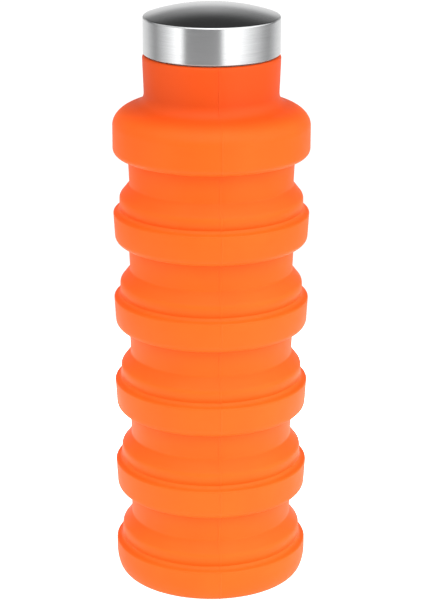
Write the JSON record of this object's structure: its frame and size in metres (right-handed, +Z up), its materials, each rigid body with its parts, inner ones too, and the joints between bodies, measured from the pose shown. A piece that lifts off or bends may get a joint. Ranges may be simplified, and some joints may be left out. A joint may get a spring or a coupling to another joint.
{
  "type": "folding water bottle",
  "caption": "Collapsible silicone water bottle with telescoping ringed walls, a threaded neck collar and a screw-on domed steel lid.",
  "frame": {"origin": "centre of the foot, on the surface that the bottle stands on", "axes": "+Z up along the bottle's axis, from the foot to the lid; -Y towards the side seen first, whose mould line is a few degrees towards +X"},
  "size_m": [0.075, 0.075, 0.2265],
  "materials": {
    "silicone": "matte, moulded silicone, orange",
    "steel": "brushed round the side and over the dome",
    "neck_plastic": "satin natural polypropylene",
    "lid_plastic": "satin natural polypropylene",
    "seal": "soft translucent silicone"
  },
  "bodies": {
    "base": {"base_cup": "silicone", "fold_wall_5": "silicone"},
    "ring_4": {"band_4": "silicone", "waist_5": "silicone", "fold_wall_4": "silicone"},
    "ring_3": {"band_3": "silicone", "waist_4": "silicone", "fold_wall_3": "silicone"},
    "ring_2": {"band_2": "silicone", "waist_3": "silicone", "fold_wall_2": "silicone"},
    "ring_1": {"band_1": "silicone", "waist_2": "silicone", "fold_wall_1": "silicone"},
    "neck": {"shoulder": "silicone", "waist_1": "silicone", "threaded_collar": "neck_plastic"},
    "lid_seal": {"lid_gasket": "seal"},
    "lid": {"lid_shell": "steel", "lid_core": "lid_plastic"}
  },
  "joints": [
    {"name": "fold_5", "type": "slide", "parent": "base", "child": "ring_4", "axis": [0, 0, -1], "range_m": [0, 0.0194], "deforming": ["fold_wall_5"]},
    {"name": "fold_4", "type": "slide", "parent": "ring_4", "child": "ring_3", "axis": [0, 0, -1], "range_m": [0, 0.0194], "deforming": ["fold_wall_4"]},
    {"name": "fold_3", "type": "slide", "parent": "ring_3", "child": "ring_2", "axis": [0, 0, -1], "range_m": [0, 0.0194], "deforming": ["fold_wall_3"]},
    {"name": "fold_2", "type": "slide", "parent": "ring_2", "child": "ring_1", "axis": [0, 0, -1], "range_m": [0, 0.0194], "deforming": ["fold_wall_2"]},
    {"name": "fold_1", "type": "slide", "parent": "ring_1", "child": "neck", "axis": [0, 0, -1], "range_m": [0, 0.0194], "deforming": ["fold_wall_1"]},
    {"name": "lid_lift", "type": "slide", "parent": "neck", "child": "lid_seal", "axis": [0, 0, 1], "range_m": [0, 0.024]},
    {"name": "lid_turn", "type": "hinge", "parent": "lid_seal", "child": "lid", "pos_m": [0, 0, 0.208], "axis": [0, 0, 1], "range_deg": [0, 1080]}
  ],
  "couplings": [
    {"joint": "lid_turn", "follows": "lid_lift", "rad_per_m": 785.4}
  ]
}
